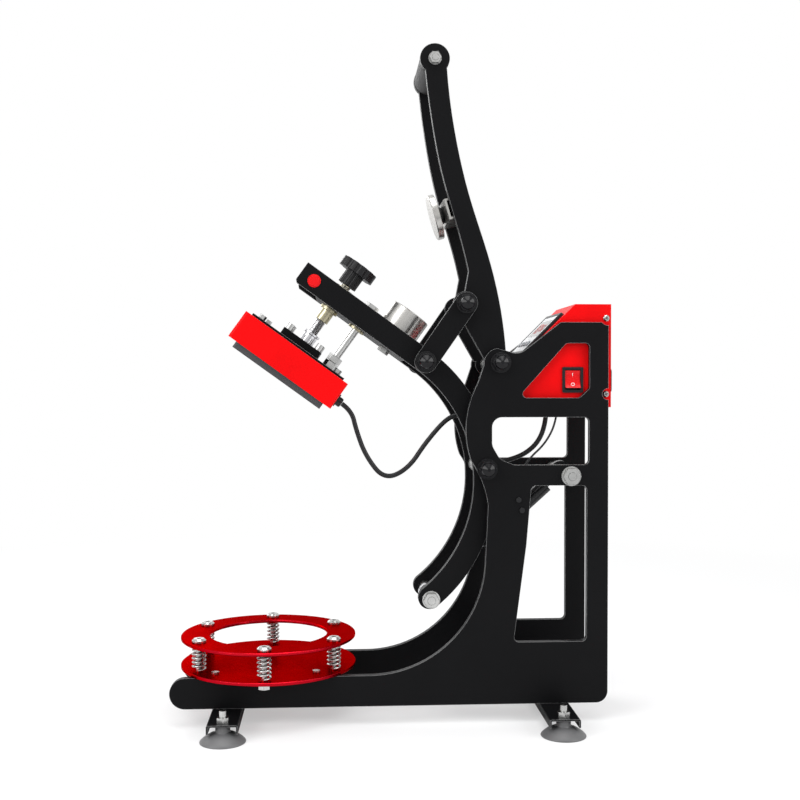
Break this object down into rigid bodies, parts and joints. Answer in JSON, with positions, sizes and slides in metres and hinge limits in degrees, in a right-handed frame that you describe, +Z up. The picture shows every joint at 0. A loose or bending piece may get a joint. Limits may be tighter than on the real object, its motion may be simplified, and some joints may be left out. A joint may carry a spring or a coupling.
{
  "type": "ball heat press",
  "caption": "Bench-top hand press with a tilting heated square head, a spring ring that seats a ball, a lever handle with a magnet lock and a control box.",
  "frame": {"origin": "centre of the footprint, on the surface that the suction cups stand on", "axes": "+Z up, -Y the front where the ball sits, +X across the press"},
  "size_m": [0.293, 0.5344, 0.8168],
  "materials": {
    "black_powder_coat": "satin black powder coat",
    "zinc_steel": "zinc plated",
    "chrome_screw": "polished",
    "black_cap_nut": "gloss black",
    "red_gloss": "gloss red enamel",
    "spring_steel": "bright wire",
    "red_sheet": "smooth red paint",
    "cup_rubber": "matt grey",
    "black_plastic": "moulded",
    "panel_face": "satin film",
    "display_window": "dark smoked",
    "circuit_board": "board with parts",
    "cable_jacket": "satin black",
    "brass": "turned",
    "nickel": "nickel plated",
    "red_plastic": "moulded red",
    "grip_rubber": "matt foam rubber",
    "cushion_rubber": "matt",
    "strut_black": "gloss black",
    "rod_chrome": "polished",
    "cast_platen": "dark coated casting",
    "insulation": "fibre board",
    "key_plastic": "moulded keys"
  },
  "bodies": {
    "frame": {"right_side_plate": "black_powder_coat", "left_side_plate": "black_powder_coat", "foot_channels": "black_powder_coat", "suction_cups": "cup_rubber", "foot_studs": "zinc_steel", "tie_bolt": "zinc_steel", "frame_spacers": "zinc_steel", "ball_base_disc": "red_gloss", "stand_bolts": "zinc_steel", "ring_springs": "spring_steel", "pivot_bolts": "black_cap_nut", "control_box_shell": "red_sheet", "control_box_cover": "red_sheet", "box_screws": "zinc_steel", "controller_bezel": "black_plastic", "controller_faceplate": "panel_face", "controller_window": "display_window", "rocker_bezel": "black_plastic", "power_inlet": "black_plastic", "box_electronics": "circuit_board", "timer_switch": "black_plastic", "frame_cable": "cable_jacket", "switch_wire": "cable_jacket"},
    "arm": {"arm_plates": "black_powder_coat", "arm_cross_tube": "black_powder_coat", "arm_bushes": "brass", "electromagnet": "nickel", "arm_bolts": "zinc_steel", "arm_end_caps": "red_plastic", "arm_spacers": "zinc_steel", "head_cable": "cable_jacket"},
    "handle": {"handle_plates": "black_powder_coat", "handle_tubes": "zinc_steel", "grip_sleeve": "grip_rubber", "grip_bolt": "zinc_steel", "link_top_bolts": "black_cap_nut", "keeper_plate": "nickel", "keeper_cushion": "cushion_rubber", "keeper_bracket": "nickel", "keeper_bolt": "zinc_steel"},
    "link": {"link_plates": "black_powder_coat", "link_foot_bolts": "black_cap_nut"},
    "strut_cylinder": {"strut_cylinder": "strut_black"},
    "strut_rod": {"strut_rod": "rod_chrome"},
    "head": {"head_cover": "red_sheet", "head_top_plate": "black_powder_coat", "mounting_block": "black_powder_coat", "heat_platen": "cast_platen", "insulation_board": "insulation", "head_screws": "zinc_steel", "guide_rod": "zinc_steel", "cable_gland": "black_plastic"},
    "knob": {"pressure_knob": "black_plastic", "pressure_screw": "chrome_screw"},
    "ball_ring": {"ball_support_ring": "red_gloss"},
    "rocker": {"rocker_switch": "red_plastic"},
    "set_button": {"set_button": "key_plastic"},
    "down_button": {"down_button": "key_plastic"},
    "up_button": {"up_button": "key_plastic"},
    "reset_button": {"reset_button": "key_plastic"}
  },
  "joints": [
    {"name": "arm_pivot", "type": "hinge", "parent": "frame", "child": "arm", "pos_m": [0, 0.1118, 0.306], "axis": [1, 0, 0], "range_deg": [0, 35.8], "stiffness_Nm_per_rad": 5, "springref_deg": -171.89},
    {"name": "handle_pivot", "type": "hinge", "parent": "frame", "child": "handle", "pos_m": [0, 0.1279, 0.434], "axis": [1, 0, 0], "range_deg": [0, 74.02]},
    {"name": "link_pivot", "type": "hinge", "parent": "handle", "child": "link", "pos_m": [0, 0.0868, 0.5052], "axis": [1, 0, 0], "range_deg": [-96.02, 0]},
    {"name": "strut_pivot", "type": "hinge", "parent": "frame", "child": "strut_cylinder", "pos_m": [0, 0.2137, 0.2971], "axis": [1, 0, 0], "range_deg": [0, 26.9]},
    {"name": "strut_slide", "type": "slide", "parent": "strut_cylinder", "child": "strut_rod", "axis": [0, -0.7416, -0.6708], "range_m": [-0.05503, 0]},
    {"name": "head_slide", "type": "slide", "parent": "arm", "child": "head", "axis": [0, 0.585, 0.8111], "range_m": [0, 0.016]},
    {"name": "knob_turn", "type": "hinge", "parent": "head", "child": "knob", "pos_m": [0, -0.05846, 0.5275], "axis": [0, 0.585, 0.8111], "range_deg": [0, 2880.5]},
    {"name": "ring_slide", "type": "slide", "parent": "frame", "child": "ball_ring", "axis": [0, 0, -1], "range_m": [0, 0.015], "stiffness_N_per_m": 6000, "springref_m": -0.003, "deforming": ["ring_springs"]},
    {"name": "rocker_tilt", "type": "hinge", "parent": "frame", "child": "rocker", "pos_m": [0.0562, 0.2168, 0.4132], "axis": [0, 1, 0], "range_deg": [0, 20]},
    {"name": "set_button_press", "type": "slide", "parent": "frame", "child": "set_button", "axis": [0, 0.7071, -0.7071], "range_m": [0, 0.001], "stiffness_N_per_m": 400, "springref_m": -0.0005},
    {"name": "down_button_press", "type": "slide", "parent": "frame", "child": "down_button", "axis": [0, 0.7071, -0.7071], "range_m": [0, 0.001], "stiffness_N_per_m": 400, "springref_m": -0.0005},
    {"name": "up_button_press", "type": "slide", "parent": "frame", "child": "up_button", "axis": [0, 0.7071, -0.7071], "range_m": [0, 0.001], "stiffness_N_per_m": 400, "springref_m": -0.0005},
    {"name": "reset_button_press", "type": "slide", "parent": "frame", "child": "reset_button", "axis": [0, 0.7071, -0.7071], "range_m": [0, 0.001], "stiffness_N_per_m": 400, "springref_m": -0.0005}
  ],
  "couplings": [
    {"joint": "handle_pivot", "follows": "arm_pivot", "ratio": 2.067},
    {"joint": "link_pivot", "follows": "arm_pivot", "ratio": -2.6817},
    {"joint": "strut_pivot", "follows": "arm_pivot", "ratio": 0.75081},
    {"joint": "strut_slide", "follows": "arm_pivot", "m_per_rad": -0.087907},
    {"joint": "knob_turn", "follows": "head_slide", "rad_per_m": 3141.6}
  ]
}
